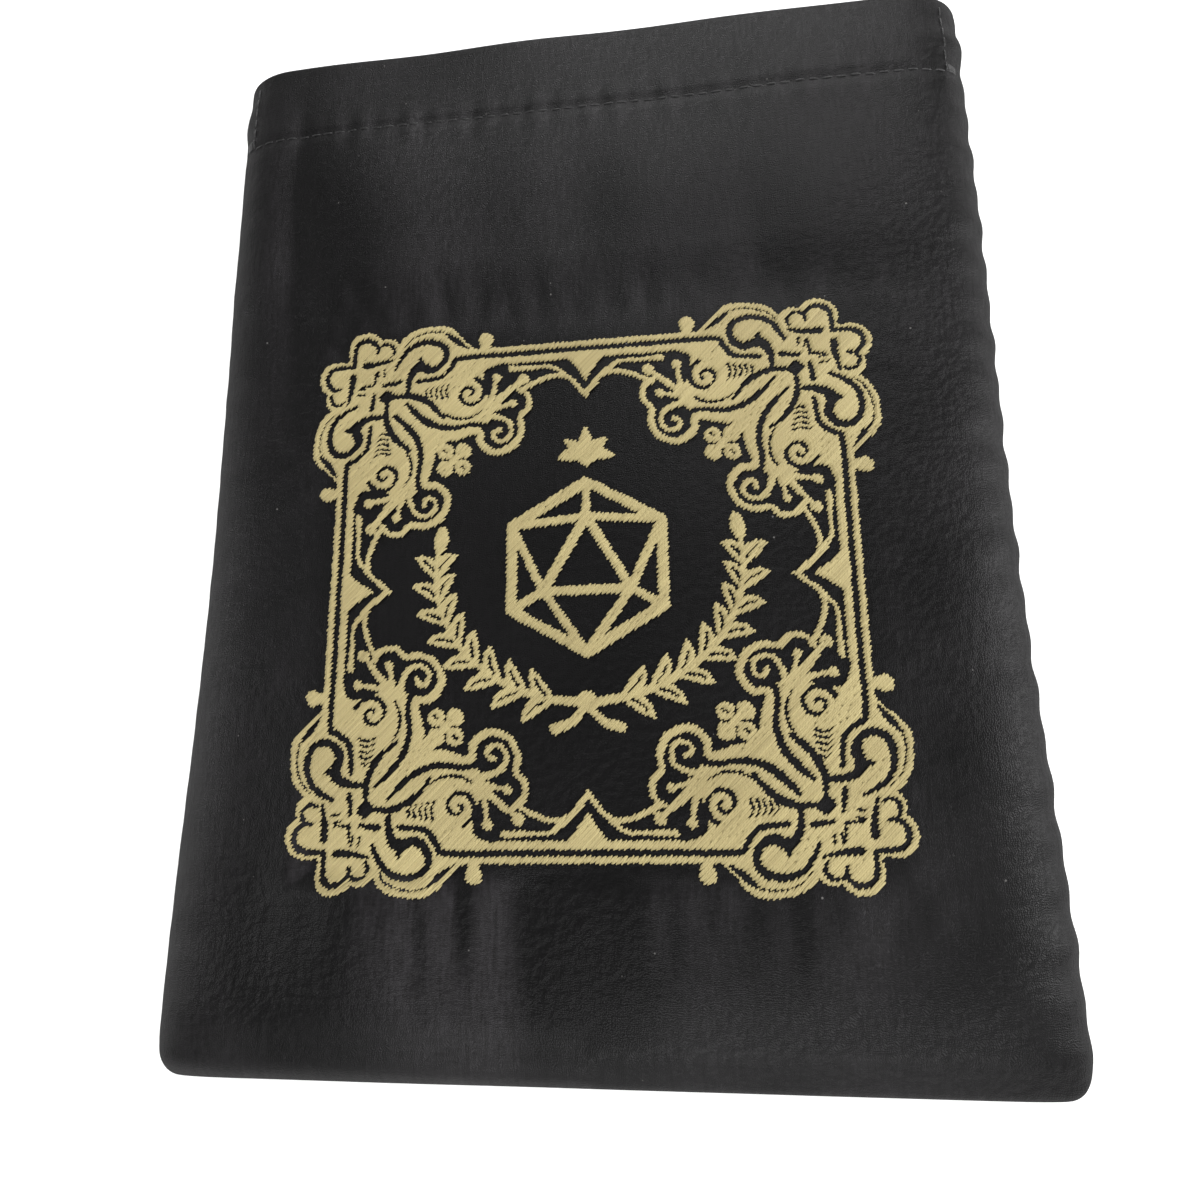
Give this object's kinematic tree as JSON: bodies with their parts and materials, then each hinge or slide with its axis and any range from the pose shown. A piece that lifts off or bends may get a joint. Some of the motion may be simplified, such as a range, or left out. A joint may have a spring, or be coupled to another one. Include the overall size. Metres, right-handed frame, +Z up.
{
  "type": "dice bag",
  "caption": "Flat rectangular cotton pouch lying on its back, open at the mouth, with a square of raised thread embroidery on its front.",
  "frame": {"origin": "centre of the bag's base, on the surface that it lies on", "axes": "+Y along the bag towards its mouth, +X across it, +Z up out of its embroidered front"},
  "size_m": [0.14, 0.184, 0.0106],
  "materials": {
    "black_cotton": "fine plain-weave cotton, soft sheen",
    "gold_thread": "satin machine-embroidery thread"
  },
  "bodies": {
    "root": {"front_panel": "black_cotton", "back_panel": "black_cotton", "front_casing": "black_cotton", "back_casing": "black_cotton", "embroidered_border": "gold_thread", "embroidered_die": "gold_thread", "embroidered_sprays": "gold_thread", "embroidered_palmette": "gold_thread"}
  },
  "joints": []
}
